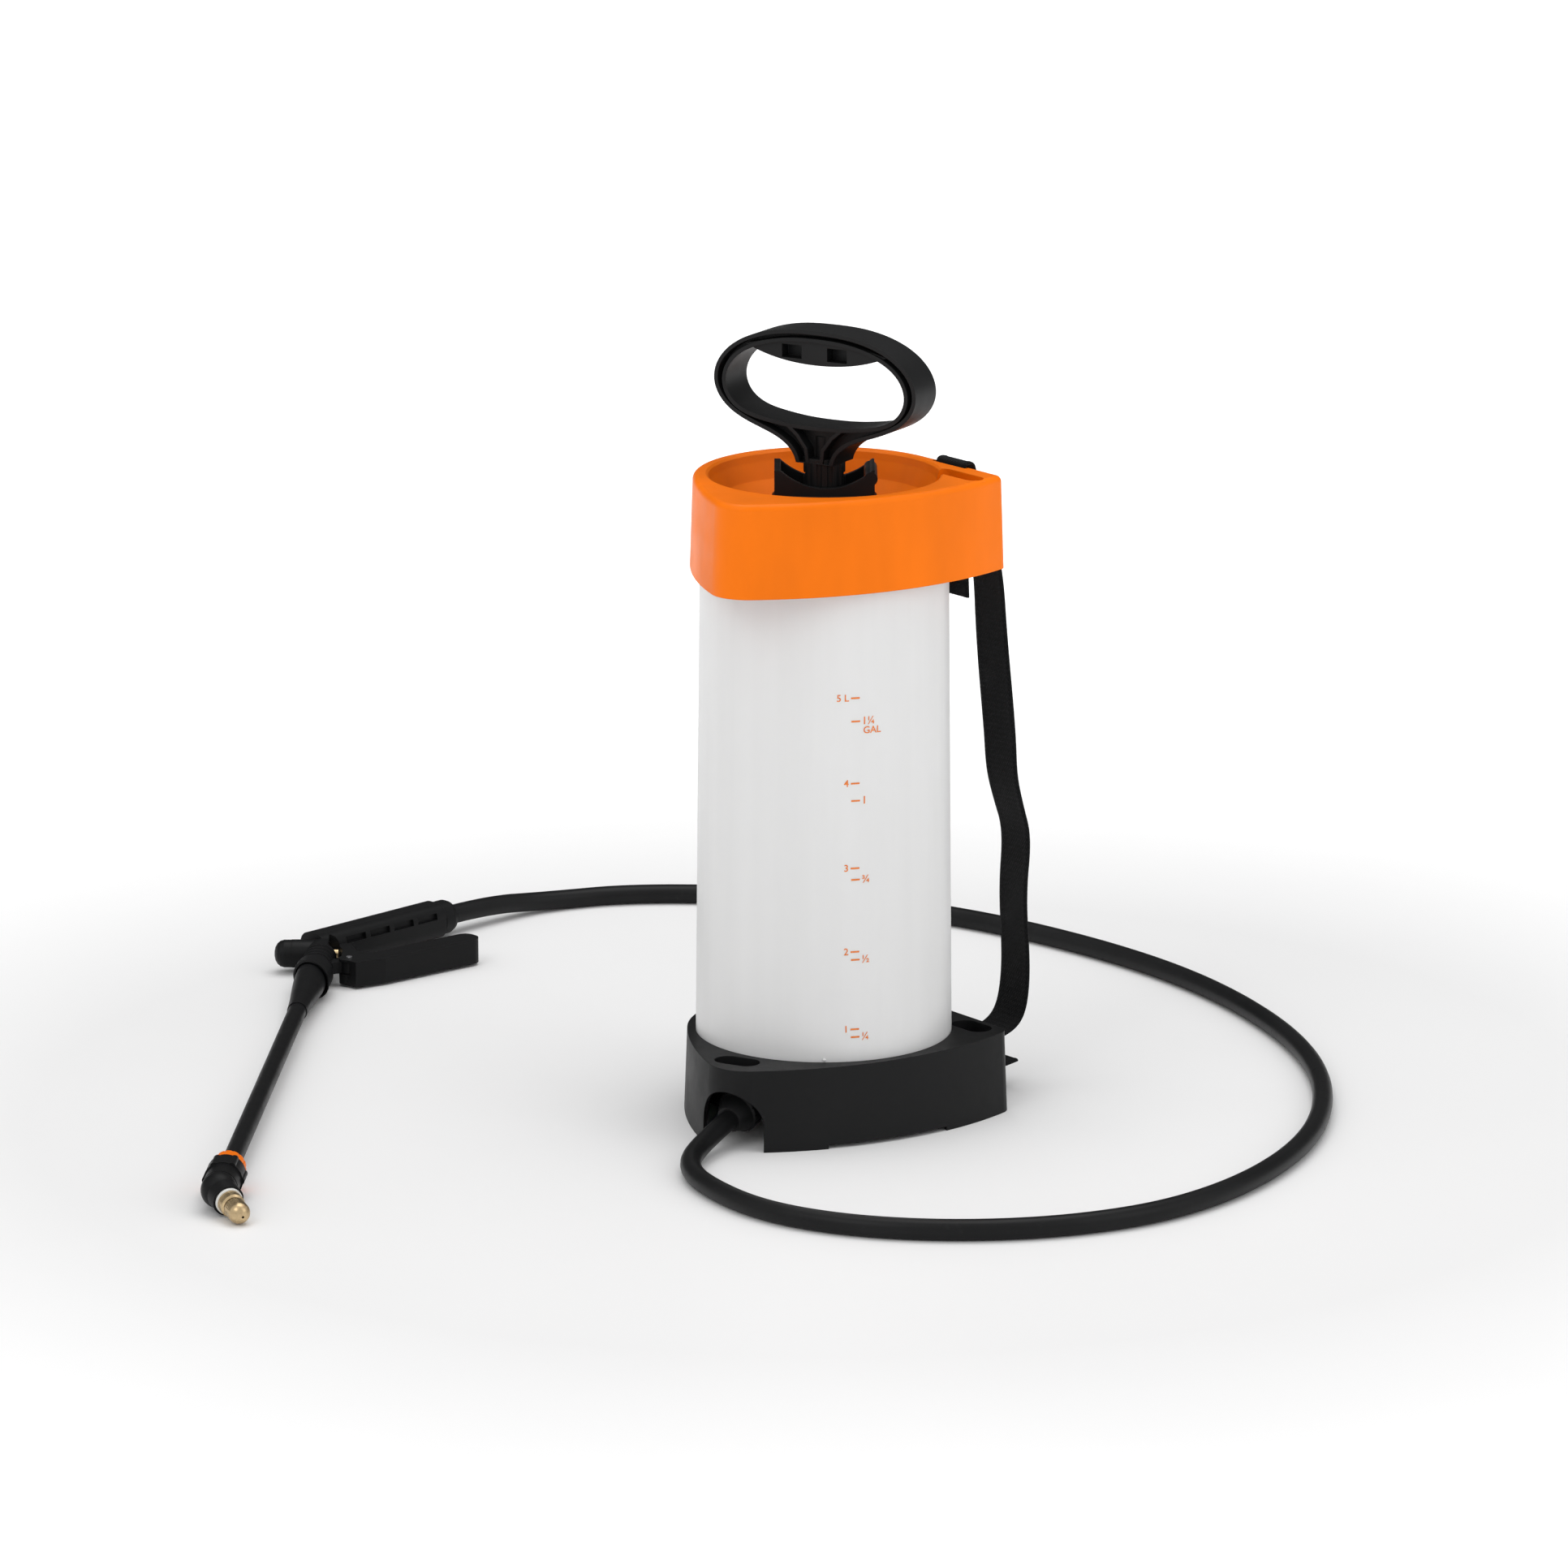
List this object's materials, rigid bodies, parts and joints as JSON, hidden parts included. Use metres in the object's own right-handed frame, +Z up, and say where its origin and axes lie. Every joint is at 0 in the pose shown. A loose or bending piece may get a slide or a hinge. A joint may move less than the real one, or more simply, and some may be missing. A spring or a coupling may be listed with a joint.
{
  "type": "hand-pumped pressure sprayer",
  "caption": "Hand-pumped pressure sprayer: round tank in a two-eared base, funnel collar, loop pump handle, hose and a spray gun with a long lance lying on the floor.",
  "frame": {"origin": "on the floor, on the tank's axis", "axes": "+Z up along the tank's axis; -Y towards the side with the volume scale; +X to the right when looking at that side"},
  "size_m": [0.7005, 0.7854, 0.4995],
  "materials": {
    "black_plastic": "satin black moulded polypropylene with a fine grain",
    "orange_plastic": "smooth orange moulded plastic",
    "milky_plastic": "translucent milky white polyethylene",
    "hose_vinyl": "smooth black reinforced hose",
    "webbing": "black woven polypropylene webbing",
    "brass": "turned brass with a fine knurl",
    "steel": "plain bright steel wire and pins",
    "seal_rubber": "black nitrile rubber",
    "white_plastic": "white moulded plastic"
  },
  "bodies": {
    "sprayer": {"base": "black_plastic", "tank": "milky_plastic", "funnel_collar": "orange_plastic", "funnel_seal": "seal_rubber", "outlet_spigot": "black_plastic", "outlet_gasket": "seal_rubber", "outlet_strainer": "white_plastic", "hose_nut": "black_plastic", "hose": "hose_vinyl", "strap": "webbing", "gun_body": "black_plastic", "hose_coupling": "black_plastic", "grip_filter": "white_plastic", "valve_cap": "black_plastic", "valve_seat": "seal_rubber", "spindle_ring": "seal_rubber", "valve_spring": "steel", "lever_pin": "steel", "lance_tube": "black_plastic", "lance_ring": "seal_rubber"},
    "pump": {"pump_head": "black_plastic", "pump_gasket": "seal_rubber", "pump_barrel": "white_plastic", "rod_bush": "black_plastic", "rod_wiper": "seal_rubber", "foot_plug": "black_plastic", "check_valve": "seal_rubber", "relief_body": "orange_plastic", "relief_cap": "orange_plastic", "relief_spring": "steel"},
    "piston": {"piston": "black_plastic", "piston_seal": "seal_rubber"},
    "plunger": {"piston_rod": "black_plastic", "piston_nut": "black_plastic", "handle": "black_plastic", "handle_pin": "steel"},
    "relief_plunger": {"relief_knob": "orange_plastic", "relief_seal": "seal_rubber"},
    "lever": {"lever": "black_plastic"},
    "valve_spindle": {"valve_spindle": "brass", "valve_seal": "seal_rubber"},
    "lance_nut": {"lance_nut": "black_plastic"},
    "nozzle_ring": {"nozzle_ring": "orange_plastic"},
    "elbow": {"nozzle_elbow": "black_plastic", "nozzle_gasket": "white_plastic", "nozzle_body": "brass", "swirl_insert": "brass"},
    "tip": {"nozzle_tip": "brass"}
  },
  "joints": [
    {"name": "pump_lift", "type": "slide", "parent": "sprayer", "child": "pump", "axis": [0, 0, 1], "range_m": [0, 0.36]},
    {"name": "pump_stroke", "type": "slide", "parent": "pump", "child": "piston", "axis": [0, 0, 1], "range_m": [0, 0.22]},
    {"name": "handle_turn", "type": "hinge", "parent": "piston", "child": "plunger", "pos_m": [0, 0, 0.4], "axis": [0, 0, 1], "continuous": true},
    {"name": "relief_pull", "type": "slide", "parent": "pump", "child": "relief_plunger", "axis": [0, 0, 1], "range_m": [0, 0.003], "stiffness_N_per_m": 400, "springref_m": -0.002, "deforming": ["relief_spring"]},
    {"name": "lever_squeeze", "type": "hinge", "parent": "sprayer", "child": "lever", "pos_m": [-0.314, 0.28, 0.013], "axis": [0, 0, 1], "range_deg": [0, 9], "stiffness_Nm_per_rad": 0.6, "springref_deg": -5.73},
    {"name": "spindle_push", "type": "slide", "parent": "sprayer", "child": "valve_spindle", "axis": [-1, 0, 0], "range_m": [0, 0.0055]},
    {"name": "lance_nut_turn", "type": "hinge", "parent": "sprayer", "child": "lance_nut", "pos_m": [-0.3336, 0.312, 0.013], "axis": [-0.061, -0.9981, 0], "range_deg": [-360, 0]},
    {"name": "ring_turn", "type": "hinge", "parent": "sprayer", "child": "nozzle_ring", "pos_m": [-0.3336, 0.312, 0.013], "axis": [-0.061, -0.9981, 0], "range_deg": [-180, 0]},
    {"name": "elbow_swivel", "type": "hinge", "parent": "sprayer", "child": "elbow", "pos_m": [-0.36626, -0.222, 0.013], "axis": [-0.061, -0.9981, 0], "continuous": true},
    {"name": "tip_turn", "type": "hinge", "parent": "elbow", "child": "tip", "pos_m": [-0.36626, -0.222, 0.013], "axis": [0.4317, -0.8851, -0.1736], "range_deg": [-360, 0]}
  ],
  "couplings": [
    {"joint": "spindle_push", "follows": "lever_squeeze", "m_per_rad": 0.034}
  ]
}
